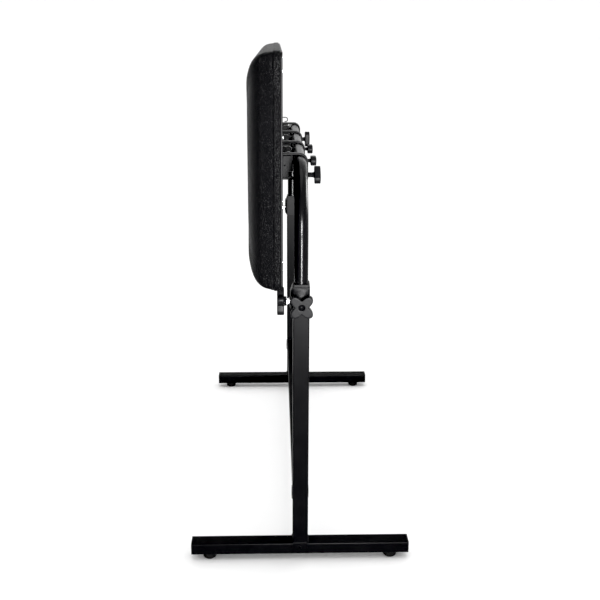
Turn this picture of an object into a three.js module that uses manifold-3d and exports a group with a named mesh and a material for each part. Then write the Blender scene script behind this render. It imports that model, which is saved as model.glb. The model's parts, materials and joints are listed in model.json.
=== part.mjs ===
// A free-standing, height-adjustable stand that carries one large padded board on a round cross bar.
// Millimetres. +X runs along the bar to the right end, -Y is the padded front, +Z is up, and the
// origin is the point on the floor midway between the two feet.
import * as THREE from "three";
import { mergeVertices } from "three/addons/utils/BufferGeometryUtils.js";
import Module from "manifold-3d";

// ---- Driving dimensions ---------------------------------------------------------------------
const GAP = 0.3; // clearance left between pieces that touch
const ENDS = { right: 1, left: -1 };
const SIDES = { front: -1, rear: 1 };

const POST_SPACING = 1100;
const POST_X = POST_SPACING / 2;
const TUBE = 38; // square tube of the posts and the beam
const WALL = 1.5;
const TUBE_CORNER = 3;

const GLIDE_HEIGHT = 16;
const GLIDE_RADIUS = 17;
const GLIDE_Y = 227;
const FOOT_LENGTH = 544;
const FOOT_WIDTH = 40;
const FOOT_HEIGHT = 30;
const FOOT_CAP = 2.5;
const FOOT_TOP = GLIDE_HEIGHT + FOOT_HEIGHT;

const PLATE = 1.6; // saddle plate over the foot
const SADDLE_DROP = 14;
const SADDLE_TOP = FOOT_TOP + GAP + PLATE;
const SADDLE_SCREW_Z = FOOT_TOP - 8;

const BEAM_BOTTOM = 150;

const KNOB_Z = 673.7;
const COLLAR_BOTTOM = KNOB_Z - 22;
const COLLAR_TOP = KNOB_Z + 38;
const COLLAR_SIZE = TUBE + 1;
const COLLAR_CROWN = 6.4; // how far the collar's two crowned faces bulge
const BEVEL_DROP = 14; // height of the bevel above and below each crown
const SEAT_LENGTH = 6.7;
const SEAT_RADIUS = 9.5;
const BUSH_FLANGE = 5.5;
const BUSH_BOTTOM = KNOB_Z - 52;
const NUT_THICKNESS = 7.4;
const NUT_ACROSS = 13;
const STUD_RADIUS = 4;
const STUD_HOLE = 4.6;

const KNOB_THICKNESS = 16.3;
const KNOB_MEAN_RADIUS = 24.6;
const KNOB_LOBE = 7.8;
const KNOB_HUB_RADIUS = 11;
const KNOB_HUB_LENGTH = 5.3;
const KNOB_RECESS_RADIUS = 6.7;
const KNOB_RECESS_DEPTH = 5;

const BAR_RADIUS = 16;
const BAR_WALL = 1.5;
const BAR_Z = 966;
const ELBOW_RADIUS = 150;
const STOP_RING_RADIUS = 17;
const STOP_RING_HEIGHT = 10;
const TRAVEL = 220; // from the rest height up to where the stop ring meets the bush
const LEG_BOTTOM = BUSH_BOTTOM - TRAVEL - STOP_RING_HEIGHT - 2;

const CLAMP_SPACING = 240;
const CLAMP_X = [-1.5, -0.5, 0.5, 1.5].map((step) => step * CLAMP_SPACING);
const BRACKET_WIDTH = 30;
const BRACKET_TOP = BAR_Z + BAR_RADIUS - 0.5;
const BRACKET_HEIGHT = 38.5;
const SCREW_Z = BAR_Z - 31.7;
const LUG_Y = 10;
const LUG = 4.5;
const STRAP_WIDTH = 25;
const STRAP = 4.5;
const STRAP_END_Z = SCREW_Z - 9;
const NECK_RADIUS = 6;
const NECK_LENGTH = 15;
const T_LENGTH = 47;
const T_WIDTH = 23.5;
const T_THICKNESS = 16;
const T_TURNS = [90, 0, 0, 45]; // how far each T-knob was left turned, degrees

const WIRE_RADIUS = 1.4;
const WIRE_BEND = 6.6;
const WIRE_TOP = BAR_Z + 37;

const PAD_BACK_Y = -42;
const PAD_LENGTH = 1222;
const PAD_BOTTOM = 708.5;
const PAD_TOP = 1231.5;
const PAD_HEIGHT = PAD_TOP - PAD_BOTTOM;
const PAD_Z = (PAD_TOP + PAD_BOTTOM) / 2;
const PAD_CORNER = 18;
const PANEL = 5;
const PANEL_INSET = 6;
const CORE = 12;
const CORE_INSET = 4;
const BAND = 16; // straight edge of the upholstery, in front of the back panel
const CROWN = 57; // domed part in front of the band
const CROWN_INSET_X = 85;
const CROWN_INSET_Z = 60;

const ROUND = 16; // sides of a small round
const QUARTER = Math.PI / 2;

// ---- Solids -----------------------------------------------------------------------------------
const wasm = await Module();
wasm.setup();

function solidOf(geometry) {
  const bare = geometry.clone();
  bare.deleteAttribute("normal");
  bare.deleteAttribute("uv");
  const merged = mergeVertices(bare, 1e-3);
  return new wasm.Manifold(
    new wasm.Mesh({
      numProp: 3,
      vertProperties: merged.attributes.position.array,
      triVerts: new Uint32Array(merged.index.array),
    }),
  );
}

function geometryOf(solid) {
  const mesh = solid.getMesh();
  return new THREE.BufferGeometry()
    .setAttribute("position", new THREE.BufferAttribute(mesh.vertProperties, 3))
    .setIndex(new THREE.BufferAttribute(mesh.triVerts, 1));
}

function join(...geometries) {
  return geometryOf(geometries.map(solidOf).reduce((whole, piece) => whole.add(piece)));
}

function common(first, second) {
  return geometryOf(solidOf(first).intersect(solidOf(second)));
}

function cut(geometry, ...tools) {
  return geometryOf(tools.map(solidOf).reduce((whole, tool) => whole.subtract(tool), solidOf(geometry)));
}

// ---- Shapes -----------------------------------------------------------------------------------
function roundedRect(width, height, radius) {
  const [x, y] = [width / 2 - radius, height / 2 - radius];
  const shape = new THREE.Shape();
  shape.absarc(x, y, radius, 0, QUARTER);
  shape.absarc(-x, y, radius, QUARTER, 2 * QUARTER);
  shape.absarc(-x, -y, radius, 2 * QUARTER, 3 * QUARTER);
  shape.absarc(x, -y, radius, 3 * QUARTER, 4 * QUARTER);
  return shape;
}

function polygon(points) {
  return new THREE.Shape(points.map(([x, y]) => new THREE.Vector2(x, y)));
}

// A flat outline given thickness along +Z, from z = 0.
function plate(shape, depth, curveSegments = 3) {
  return new THREE.ExtrudeGeometry(shape, { depth, bevelEnabled: false, curveSegments });
}

// An outline drawn in Y and Z, given thickness along X and centred on x = 0.
function plateAcross(shape, width, curveSegments = 3) {
  return plate(shape, width, curveSegments)
    .translate(0, 0, -width / 2)
    .rotateZ(QUARTER)
    .rotateY(QUARTER);
}

function rectTube(width, height, length) {
  const shape = roundedRect(width, height, TUBE_CORNER);
  shape.holes.push(roundedRect(width - 2 * WALL, height - 2 * WALL, TUBE_CORNER - WALL));
  return plate(shape, length);
}

// A round rod from z = low to z = high.
function rod(radius, low, high, sides = ROUND) {
  return new THREE.CylinderGeometry(radius, radius, high - low, sides)
    .rotateX(QUARTER)
    .translate(0, 0, (low + high) / 2);
}

// A profile of [radius, z] points, from the lowest on the axis to the highest on it, turned about Z.
function turned(profile, sides = ROUND) {
  const points = profile.map(([radius, z]) => new THREE.Vector2(radius, z));
  return new THREE.LatheGeometry(points, sides).rotateX(QUARTER);
}

function box(width, depth, height) {
  return new THREE.BoxGeometry(width, depth, height);
}

// ---- Materials and assembly -------------------------------------------------------------------
function finish(color, roughness, metalness) {
  return new THREE.MeshStandardMaterial({ color, roughness, metalness });
}

const powderCoat = finish(0x141416, 0.5, 0.2);
const glossTube = finish(0x0c0c0d, 0.25, 0.3);
const blackPlastic = finish(0x1b1b1c, 0.55, 0);
const blackRubber = finish(0x0e0e0e, 0.85, 0);
const zinc = finish(0xb9bcc0, 0.3, 0.9);
const vinyl = finish(0x101011, 0.5, 0);
const plywood = finish(0xb89468, 0.7, 0);

const stand = new THREE.Group();

function add(name, geometry, material, parent = stand) {
  const mesh = new THREE.Mesh(geometry, material);
  mesh.name = name;
  parent.add(mesh);
  return mesh;
}

// ---- Feet -------------------------------------------------------------------------------------
function footTube(outward) {
  const length = FOOT_LENGTH - 2 * (FOOT_CAP + GAP);
  const tube = rectTube(FOOT_WIDTH, FOOT_HEIGHT, length).translate(0, 0, -length / 2).rotateX(QUARTER);
  const hole = rod(2.7, 0, FOOT_WIDTH).rotateY(outward * QUARTER);
  return cut(tube, hole.translate(0, 0, SADDLE_SCREW_Z - GLIDE_HEIGHT - FOOT_HEIGHT / 2));
}

function footCap() {
  const flange = plate(roundedRect(FOOT_WIDTH, FOOT_HEIGHT, TUBE_CORNER), FOOT_CAP);
  const inside = 2 * (WALL + GAP);
  const plug = plate(roundedRect(FOOT_WIDTH - inside, FOOT_HEIGHT - inside, 1), 14).translate(0, 0, -13);
  return join(flange, plug);
}

function glide() {
  return turned([
    [0, 0],
    [GLIDE_RADIUS - 2, 0],
    [GLIDE_RADIUS, 2],
    [GLIDE_RADIUS, 9],
    [GLIDE_RADIUS - 4, GLIDE_HEIGHT - GAP],
    [0, GLIDE_HEIGHT - GAP],
  ]);
}

// The folded plate that straddles the foot: a flat top with a short flap down each side.
function saddle(outward) {
  const inner = FOOT_WIDTH / 2 + GAP;
  const outer = inner + PLATE;
  const low = FOOT_TOP - SADDLE_DROP;
  const section = polygon([
    [-outer, low],
    [-inner, low],
    [-inner, FOOT_TOP + GAP],
    [inner, FOOT_TOP + GAP],
    [inner, low],
    [outer, low],
    [outer, SADDLE_TOP],
    [-outer, SADDLE_TOP],
  ]);
  const channel = plate(section, TUBE).translate(0, 0, -TUBE / 2).rotateX(QUARTER);
  const hole = rod(2.7, inner - 1, outer + 1).rotateY(outward * QUARTER);
  return cut(channel, hole.translate(0, 0, SADDLE_SCREW_Z));
}

function saddleScrew() {
  const head = FOOT_WIDTH / 2 + 2 * GAP + PLATE;
  return turned([
    [0, head - 14],
    [2.3, head - 14],
    [2.3, head],
    [4.5, head],
    [4, head + 1.8],
    [0, head + 2.6],
  ]);
}

for (const [end, outward] of Object.entries(ENDS)) {
  const foot = new THREE.Group();
  foot.position.x = outward * POST_X;
  stand.add(foot);
  add(`${end}_foot`, footTube(outward), powderCoat, foot).position.z = GLIDE_HEIGHT + FOOT_HEIGHT / 2;
  add(`${end}_foot_saddle`, saddle(outward), powderCoat, foot);
  const screw = add(`${end}_saddle_screw`, saddleScrew(), zinc, foot);
  screw.rotation.y = outward * QUARTER;
  screw.position.z = SADDLE_SCREW_Z;
  for (const [side, toward] of Object.entries(SIDES)) {
    const cap = add(`${end}_foot_${side}_cap`, footCap(), blackPlastic, foot);
    cap.rotation.x = -toward * QUARTER;
    cap.position.set(0, toward * (FOOT_LENGTH / 2 - FOOT_CAP), GLIDE_HEIGHT + FOOT_HEIGHT / 2);
    add(`${end}_${side}_glide`, glide(), blackRubber, foot).position.y = toward * GLIDE_Y;
  }
}

// ---- Posts, beam, collars and guide bushes ----------------------------------------------------
function post() {
  const bottom = SADDLE_TOP + GAP;
  return rectTube(TUBE, TUBE, COLLAR_BOTTOM - GAP - bottom).translate(0, 0, bottom);
}

function stretcherBeam() {
  const length = POST_SPACING - TUBE - 2 * GAP;
  return rectTube(TUBE, TUBE, length).translate(0, 0, -length / 2).rotateY(QUARTER);
}

function studHole(from, to) {
  return rod(STUD_HOLE, from, to);
}

// Turns a piece built along +Z so that it points outwards from the post along +X or along -Y.
const FACES = {
  side: (piece, outward) => piece.rotateY(outward * QUARTER),
  front: (piece) => piece.rotateX(QUARTER),
};

// A crowned pad that swells out of the collar's face: a slice of a wide upright cylinder, with its
// top and bottom bevelled back to the face. Built on the -Y face.
function crownedPad() {
  const half = COLLAR_SIZE / 2;
  const radius = (half ** 2 + COLLAR_CROWN ** 2) / (2 * COLLAR_CROWN);
  const height = COLLAR_TOP - COLLAR_BOTTOM;
  const centre = COLLAR_CROWN + half - radius;
  const drum = rod(radius, COLLAR_BOTTOM, COLLAR_TOP, 48).translate(0, -centre, 0);
  const reach = half + COLLAR_CROWN;
  const outline = polygon([
    [-reach, COLLAR_BOTTOM + BEVEL_DROP / 2],
    [-half, COLLAR_BOTTOM],
    [-half + 2, COLLAR_BOTTOM],
    [-half + 2, COLLAR_BOTTOM + height],
    [-half, COLLAR_BOTTOM + height],
    [-reach, COLLAR_TOP - BEVEL_DROP],
  ]);
  return common(drum, plateAcross(outline, COLLAR_SIZE));
}

// The cast collar: a square sleeve whose outer side and front are crowned, each with a flat seat.
function collar(outward) {
  const height = COLLAR_TOP - COLLAR_BOTTOM;
  const root = COLLAR_SIZE / 2;
  const well = TUBE - 2 * WALL;
  const sleeve = plate(roundedRect(COLLAR_SIZE, COLLAR_SIZE, TUBE_CORNER), height);
  const solids = [sleeve.translate(0, 0, COLLAR_BOTTOM), crownedPad()];
  solids.push(crownedPad().rotateZ(outward * QUARTER));
  const holes = [box(well, well, 3 * height).translate(0, 0, COLLAR_TOP)];
  for (const turn of Object.values(FACES)) {
    const seat = rod(SEAT_RADIUS, root - 1, root + SEAT_LENGTH);
    solids.push(turn(seat, outward).translate(0, 0, KNOB_Z));
    holes.push(turn(studHole(0, 2 * root), outward).translate(0, 0, KNOB_Z));
  }
  return cut(join(...solids), ...holes);
}

function guideBush(outward) {
  const liner = TUBE - 2 * (WALL + GAP);
  const height = COLLAR_TOP - BUSH_BOTTOM + 1;
  const sleeve = plate(roundedRect(liner, liner, 1.2), height).translate(0, 0, BUSH_BOTTOM);
  const flange = plate(roundedRect(TUBE, TUBE, TUBE_CORNER), BUSH_FLANGE - GAP);
  const body = join(sleeve, flange.translate(0, 0, COLLAR_TOP + GAP));
  const holes = [rod(BAR_RADIUS + GAP, BUSH_BOTTOM - 1, COLLAR_TOP + BUSH_FLANGE + 1, 32)];
  for (const turn of Object.values(FACES)) {
    holes.push(turn(studHole(0, TUBE), outward).translate(0, 0, KNOB_Z));
  }
  return cut(body, ...holes);
}

const beam = add("stretcher_beam", stretcherBeam(), powderCoat);
beam.position.z = BEAM_BOTTOM + TUBE / 2;
for (const [end, outward] of Object.entries(ENDS)) {
  add(`${end}_post`, post(), powderCoat).position.x = outward * POST_X;
  add(`${end}_post_collar`, collar(outward), blackPlastic).position.x = outward * POST_X;
  add(`${end}_guide_bush`, guideBush(outward), blackPlastic).position.x = outward * POST_X;
}

// ---- Post knobs -------------------------------------------------------------------------------
function lobedOutline() {
  const points = [];
  const steps = 40;
  for (let i = 0; i < steps; i++) {
    const angle = (i / steps) * 4 * QUARTER;
    const radius = KNOB_MEAN_RADIUS + KNOB_LOBE * Math.cos(4 * angle);
    points.push([radius * Math.cos(angle), radius * Math.sin(angle)]);
  }
  return polygon(points);
}

// The four-lobe knob, with its hub's inner face at z = 0 and its outer face at the top.
function lobedKnob() {
  const top = KNOB_HUB_LENGTH + KNOB_THICKNESS;
  const head = plate(lobedOutline(), KNOB_THICKNESS).translate(0, 0, KNOB_HUB_LENGTH);
  const whole = join(head, rod(KNOB_HUB_RADIUS, 0, KNOB_HUB_LENGTH + 1));
  const recess = rod(KNOB_RECESS_RADIUS, top - KNOB_RECESS_DEPTH, top + 1);
  return cut(whole, rod(STUD_RADIUS + GAP, -1, top), recess);
}

function lockNut() {
  const nut = rod(NUT_ACROSS / 2 / Math.cos(Math.PI / 6), 0, NUT_THICKNESS - 2 * GAP, 6);
  const washer = rod(7.5, 0, 1.6);
  return cut(join(nut, washer), rod(STUD_HOLE, -1, NUT_THICKNESS));
}

// Distances outwards from the post's axis.
const NUT_SEAT = COLLAR_SIZE / 2 + SEAT_LENGTH + GAP;
const KNOB_SEAT = NUT_SEAT + NUT_THICKNESS;
const STUD_TIP = BAR_RADIUS + 2 * GAP;
const STUD_END = KNOB_SEAT + KNOB_HUB_LENGTH + KNOB_THICKNESS - KNOB_RECESS_DEPTH + 2;
const KNOB_TURNS = { side: 45, front: 22 };

for (const [end, outward] of Object.entries(ENDS)) {
  for (const [face, turn] of Object.entries(FACES)) {
    const spot = new THREE.Group();
    spot.position.set(outward * POST_X, 0, KNOB_Z);
    stand.add(spot);
    const spin = (KNOB_TURNS[face] * Math.PI) / 180;
    const knob = lobedKnob().rotateZ(spin).translate(0, 0, KNOB_SEAT);
    add(`${end}_${face}_lock_nut`, turn(lockNut().translate(0, 0, NUT_SEAT), outward), zinc, spot);
    add(`${end}_${face}_knob`, turn(knob, outward), blackPlastic, spot);
    add(`${end}_${face}_stud`, turn(rod(STUD_RADIUS, STUD_TIP, STUD_END), outward), zinc, spot);
  }
}

// ---- The inverted U: cross bar and two bent legs ----------------------------------------------
function ringSection(radius) {
  const section = new THREE.Shape().absarc(0, 0, radius, 0, 4 * QUARTER);
  section.holes.push(new THREE.Path().absarc(0, 0, radius - BAR_WALL, 0, 4 * QUARTER));
  return section;
}

const TUBE_SEGMENTS = 12; // per half turn of the round tubes

function crossBar() {
  const length = POST_SPACING - 2 * ELBOW_RADIUS - 2 * GAP;
  return plate(ringSection(BAR_RADIUS), length, TUBE_SEGMENTS)
    .translate(0, 0, -length / 2)
    .rotateY(QUARTER);
}

// The leg's centre line: straight up, then a quarter turn inwards to meet the bar.
class LegPath extends THREE.Curve {
  static steps = 10;

  getPoint(t) {
    const straight = 1 / LegPath.steps;
    const turnZ = BAR_Z - ELBOW_RADIUS;
    if (t < straight) return new THREE.Vector3(0, 0, LEG_BOTTOM + (turnZ - LEG_BOTTOM) * (t / straight));
    const angle = ((t - straight) / (1 - straight)) * QUARTER;
    const reach = ELBOW_RADIUS * (1 - Math.cos(angle));
    return new THREE.Vector3(-reach, 0, turnZ + ELBOW_RADIUS * Math.sin(angle));
  }

  getPointAt(u) {
    return this.getPoint(u);
  }

  getTangentAt(u) {
    return this.getTangent(u);
  }
}

function leg() {
  const tube = new THREE.ExtrudeGeometry(ringSection(BAR_RADIUS), {
    steps: LegPath.steps,
    curveSegments: TUBE_SEGMENTS,
    extrudePath: new LegPath(),
  });
  const ring = plate(ringSection(STOP_RING_RADIUS), STOP_RING_HEIGHT, TUBE_SEGMENTS);
  return join(tube, ring.translate(0, 0, LEG_BOTTOM + 1));
}

add("cross_bar", crossBar(), glossTube).position.z = BAR_Z;
for (const [end, outward] of Object.entries(ENDS)) {
  const piece = add(`${end}_leg`, leg(), glossTube);
  piece.position.x = outward * POST_X;
  piece.rotation.z = outward > 0 ? 0 : 2 * QUARTER;
}

// ---- Clamps: bracket, strap, wire hook and T-knob ----------------------------------------------
function bracket() {
  const front = PAD_BACK_Y + GAP;
  const back = -BAR_RADIUS - GAP;
  const body = plateAcross(roundedRect(back - front, BRACKET_HEIGHT, 4), BRACKET_WIDTH);
  body.translate(0, (front + back) / 2, BRACKET_TOP - BRACKET_HEIGHT / 2);
  const low = SCREW_Z - 10;
  const high = BRACKET_TOP - BRACKET_HEIGHT + 6;
  const block = box(16, 16, high - low).translate(0, front + 8, (high + low) / 2);
  const floor = box(STRAP_WIDTH, LUG_Y + LUG / 2 - front, LUG);
  floor.translate(0, (front + LUG_Y + LUG / 2) / 2, low + LUG / 2);
  const lug = box(STRAP_WIDTH, LUG, 22).translate(0, LUG_Y, low + 11);
  const hole = rod(STUD_HOLE, LUG_Y - LUG, LUG_Y + LUG).rotateX(-QUARTER).translate(0, 0, SCREW_Z);
  return cut(join(body, block, floor, lug), hole);
}

// The band from the pad's back over the bar and straight down behind it.
function strap() {
  const front = PAD_BACK_Y + GAP;
  const inner = BAR_RADIUS + GAP;
  const outer = inner + STRAP;
  const outline = new THREE.Shape();
  outline.moveTo(front, BAR_Z + inner);
  outline.lineTo(0, BAR_Z + inner);
  outline.absarc(0, BAR_Z, inner, QUARTER, 0, true);
  outline.lineTo(inner, STRAP_END_Z);
  outline.lineTo(outer, STRAP_END_Z);
  outline.lineTo(outer, BAR_Z);
  outline.absarc(0, BAR_Z, outer, 0, QUARTER);
  outline.lineTo(front, BAR_Z + outer);
  const hole = rod(STUD_HOLE, inner - 1, outer + 1).rotateX(-QUARTER).translate(0, 0, SCREW_Z);
  return cut(plateAcross(outline, STRAP_WIDTH, 8), hole);
}

// A length of round wire: straight out of the pad's back, then curled down and back on itself.
class HookPath extends THREE.Curve {
  getPoint(t) {
    const start = PAD_BACK_Y + GAP;
    const bendY = start + 16;
    const straight = 0.3;
    if (t < straight) return new THREE.Vector3(0, start + (bendY - start) * (t / straight), WIRE_TOP);
    const angle = QUARTER - ((t - straight) / (1 - straight)) * 2.3 * QUARTER;
    const [y, z] = [WIRE_BEND * Math.cos(angle), WIRE_BEND * Math.sin(angle)];
    return new THREE.Vector3(0, bendY + y, WIRE_TOP - WIRE_BEND + z);
  }
}

function wireHook() {
  const section = new THREE.Shape().absarc(0, 0, WIRE_RADIUS, 0, 4 * QUARTER);
  return new THREE.ExtrudeGeometry(section, { steps: 12, curveSegments: 4, extrudePath: new HookPath() });
}

// The T-knob along +Z: a round neck from z = 0, then the cross piece.
function tKnob() {
  const neck = rod(NECK_RADIUS, 0, NECK_LENGTH + 1);
  const cross = plate(roundedRect(T_LENGTH, T_WIDTH, T_WIDTH / 2 - 1), T_THICKNESS, 5);
  const socket = rod(STUD_RADIUS + GAP, -1, NECK_LENGTH);
  return cut(join(neck, cross.translate(0, 0, NECK_LENGTH)), socket);
}

CLAMP_X.forEach((x, index) => {
  const number = index + 1;
  const clamp = new THREE.Group();
  clamp.position.x = x;
  stand.add(clamp);
  add(`clamp_bracket_${number}`, bracket(), powderCoat, clamp);
  add(`clamp_strap_${number}`, strap(), powderCoat, clamp);
  add(`wire_hook_${number}`, wireHook(), glossTube, clamp);
  const seat = BAR_RADIUS + STRAP + 2 * GAP;
  const turn = (T_TURNS[index] * Math.PI) / 180;
  const knob = tKnob().rotateZ(turn).translate(0, 0, seat).rotateX(-QUARTER);
  add(`t_knob_${number}`, knob, blackPlastic, clamp).position.z = SCREW_Z;
  const screw = rod(STUD_RADIUS, 1, seat + NECK_LENGTH - 1).rotateX(-QUARTER);
  add(`t_screw_${number}`, screw, zinc, clamp).position.z = SCREW_Z;
});

// ---- Pad --------------------------------------------------------------------------------------
// A board in X and Z, from y = back forwards by its thickness.
function board(inset, corner, back, thickness) {
  const outline = roundedRect(PAD_LENGTH - 2 * inset, PAD_HEIGHT - 2 * inset, corner);
  return plate(outline, thickness, 4).rotateX(QUARTER).translate(0, back, PAD_Z);
}

// One closed skin through rings of equal point count, with a flat face at each end.
function loft(rings) {
  const count = rings[0].length;
  const middle = (ring) => ring.reduce((sum, p) => sum.add(p), new THREE.Vector3()).divideScalar(count);
  const points = [...rings.flat(), middle(rings[0]), middle(rings.at(-1))];
  const [first, last] = [points.length - 2, points.length - 1];
  const index = [];
  const top = (rings.length - 1) * count;
  for (let i = 0; i < count; i++) {
    const j = (i + 1) % count;
    index.push(first, j, i, last, top + i, top + j);
    for (let k = 0; k < top; k += count) {
      index.push(k + i, k + j, k + count + j);
      index.push(k + i, k + count + j, k + count + i);
    }
  }
  return new THREE.BufferGeometry().setFromPoints(points).setIndex(index);
}

function padRing(rolled, y) {
  const length = PAD_LENGTH - 2 * CROWN_INSET_X * rolled;
  const outline = roundedRect(length, PAD_HEIGHT - 2 * CROWN_INSET_Z * rolled, PAD_CORNER);
  const points = outline.getPoints(4).slice(0, -1);
  return points.map((p) => new THREE.Vector3(p.x, y, PAD_Z + p.y));
}

// The upholstery: a straight band round the edge, then an elliptical crown up to the flat front.
function cushion() {
  const back = PAD_BACK_Y - PANEL - GAP;
  const crownY = PAD_BACK_Y - PANEL - BAND;
  const rings = [padRing(0, back)];
  const steps = 6;
  for (let i = 0; i <= steps; i++) {
    const angle = (i / steps) * QUARTER;
    rings.push(padRing(1 - Math.cos(angle), crownY - CROWN * Math.sin(angle)));
  }
  const pocket = board(CORE_INSET - GAP, PAD_CORNER - CORE_INSET, back + 1, CORE + 1 + GAP);
  return cut(loft(rings), pocket);
}

add("pad_back_panel", board(PANEL_INSET, PAD_CORNER - PANEL_INSET, PAD_BACK_Y, PANEL), blackPlastic);
const coreBack = PAD_BACK_Y - PANEL - GAP;
add("pad_core_board", board(CORE_INSET, PAD_CORNER - CORE_INSET, coreBack, CORE), plywood);
add("pad_cushion", cushion(), vinyl);

export default stand;
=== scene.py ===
# %% [markdown]
# # A padded board stand, piece by piece
# The stand is a steel frame with two low feet, two square posts and a round tube bent into an upside
# down U, which carries one long upholstered board on four strap clamps. The frame's shapes come from
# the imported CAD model. This lesson gives each of them its real edges, threads, welds and finish, and
# makes the upholstery with cloth simulation.

from math import cos, hypot, pi, radians, sin

import bmesh
import bpy
import numpy as np
from mathutils import Matrix, Vector
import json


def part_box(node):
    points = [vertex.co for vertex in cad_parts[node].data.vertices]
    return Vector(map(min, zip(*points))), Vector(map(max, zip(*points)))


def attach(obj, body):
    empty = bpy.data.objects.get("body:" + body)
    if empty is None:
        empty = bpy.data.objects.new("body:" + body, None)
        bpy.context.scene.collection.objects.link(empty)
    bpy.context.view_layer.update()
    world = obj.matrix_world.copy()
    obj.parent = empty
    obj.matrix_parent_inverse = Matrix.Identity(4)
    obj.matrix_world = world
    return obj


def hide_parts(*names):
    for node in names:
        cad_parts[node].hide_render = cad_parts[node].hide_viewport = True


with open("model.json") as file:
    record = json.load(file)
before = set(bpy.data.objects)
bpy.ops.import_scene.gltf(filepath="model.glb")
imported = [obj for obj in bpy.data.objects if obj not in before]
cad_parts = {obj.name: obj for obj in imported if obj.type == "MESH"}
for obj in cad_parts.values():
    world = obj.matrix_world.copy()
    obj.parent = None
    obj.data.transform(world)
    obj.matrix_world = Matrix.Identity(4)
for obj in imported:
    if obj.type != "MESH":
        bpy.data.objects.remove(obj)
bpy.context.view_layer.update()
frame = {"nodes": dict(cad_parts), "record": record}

# %% [markdown]
# The camera comes first, because every later choice is judged through it. It stands a little above
# the board at the stand's right end and looks down along the bar. Its axes are written as vectors
# (right, up and backwards), so that the tilt, the small turn and the tiny roll are all plain to see.

# %% Camera
CAMERA_PLACE = Vector((2.449, -0.056, 1.268))
PITCH, YAW, ROLL = radians(17.31), radians(1.61), radians(0.24)
ahead = Vector((-cos(PITCH) * cos(YAW), cos(PITCH) * sin(YAW), -sin(PITCH)))
level = Vector((sin(YAW), cos(YAW), 0))
upright = level.cross(ahead)
right = cos(ROLL) * level + sin(ROLL) * upright
up = cos(ROLL) * upright - sin(ROLL) * level
camera = bpy.data.objects.new("camera", bpy.data.cameras.new("camera"))
camera.data.lens, camera.data.sensor_width = 51.9, 36
camera.data.clip_start, camera.data.clip_end = 0.05, 100
camera.matrix_world = Matrix.Translation(CAMERA_PLACE) @ Matrix((right, up, -ahead)).transposed().to_4x4()
bpy.context.scene.collection.objects.link(camera)
bpy.context.scene.camera = camera
print("camera looks along", [round(a, 3) for a in ahead])

# %% [markdown]
# A black object is lit by what it reflects. A tall soft panel stands behind the camera, so that each
# round tube shows one long highlight. A low strip beside it makes the posts fade from grey at the
# knobs to black at the feet, a panel overhead lights the tops and the floor, and one at the back shows
# the clamps. The surroundings are white, and a black level takes off the faint grey that they lay
# over every dark face.

# %% Studio
def soft_panel(name, place, target, width, height, power, spread):
    light = bpy.data.lights.new(name, "AREA")
    light.shape, light.size, light.size_y, light.energy = "RECTANGLE", width, height, power
    light.spread = radians(spread)
    lamp = bpy.data.objects.new(name, light)
    lamp.location = place
    lamp.rotation_euler = (Vector(target) - Vector(place)).to_track_quat("-Z", "Y").to_euler()
    lamp.visible_camera = False
    bpy.context.scene.collection.objects.link(lamp)
    return lamp


panels = [
    soft_panel("panel_behind_camera", (3.7, 0.30, 1.35), (0.5, 0, 0.85), 0.5, 1.3, power=72, spread=60),
    soft_panel("strip_by_camera", (3.0, 0.26, 0.22), (0.55, 0, 0.75), 0.24, 0.6, power=50, spread=90),
    soft_panel("panel_at_the_back", (-1.6, 3.2, 1.7), (0, 0, 0.9), 1.8, 1.2, power=60, spread=100),
]
soft_panel("panel_overhead", (0.1, 0.2, 3.6), (0, 0, 0), 2.4, 1.6, power=14, spread=120)
BLACK_LEVEL = 0.0095
view = bpy.context.scene.view_settings
view.view_transform, view.use_curve_mapping = "Standard", True
view.curve_mapping.black_level = (BLACK_LEVEL, BLACK_LEVEL, BLACK_LEVEL)
view.curve_mapping.update()

world = bpy.data.worlds.new("studio")
world.use_nodes = True
world.node_tree.nodes["Background"].inputs["Color"].default_value = (1, 1, 1, 1)
world.node_tree.nodes["Background"].inputs["Strength"].default_value = 1.12
bpy.context.scene.world = world
print("panels:", len(panels) + 1)

# %% [markdown]
# The floor is one wide pale sheet. It bends up far away from the stand, as a studio's paper roll does,
# so that no horizon line shows from any side. Three of the panels are set not to light it, because
# they would overexpose it and it would show in every dark face.

# %% Floor
def paper_sweep():
    rings, sides = [(0.0, 0.0), (6.0, 0.0), (12.0, 0.02), (16.0, 1.2), (18.0, 4.5), (18.5, 12.0)], 64
    corners = [2 * pi * i / sides for i in range(sides)]
    points = [(0.0, 0.0, 0.0)]
    for radius, height in rings[1:]:
        points += [(radius * cos(a), radius * sin(a), height) for a in corners]
    faces = [(0, 1 + i, 1 + (i + 1) % sides) for i in range(sides)]
    for ring in range(len(rings) - 2):
        base = 1 + ring * sides
        for i in range(sides):
            j = (i + 1) % sides
            faces.append((base + i, base + sides + i, base + sides + j, base + j))
    mesh = bpy.data.meshes.new("floor")
    mesh.from_pydata(points, [], faces)
    mesh.shade_smooth()
    floor = bpy.data.objects.new("floor", mesh)
    bpy.context.scene.collection.objects.link(floor)
    return floor


floor = paper_sweep()
paper = bpy.data.materials.new("studio_paper")
paper.use_nodes = True
paper_shader = paper.node_tree.nodes["Principled BSDF"]
paper_shader.inputs["Base Color"].default_value = (0.98, 0.98, 0.98, 1)
paper_shader.inputs["Roughness"].default_value = 1.0
paper_shader.inputs["Specular IOR Level"].default_value = 0.0
floor.data.materials.append(paper)
unlit = bpy.data.collections.new("not_lit_by_panels")
unlit.objects.link(floor)
unlit.collection_objects[0].light_linking.link_state = "EXCLUDE"
for panel in panels:
    panel.light_linking.receiver_collection = unlit
print("floor:", len(floor.data.polygons), "faces")

# %% [markdown]
# Each finish is a small network of nodes on Object coordinates, which are metres on the piece itself.
# The helper below makes the two things that nearly every finish needs: a noise that varies the
# roughness and colour a little, and a finer one that makes a bump.

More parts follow.
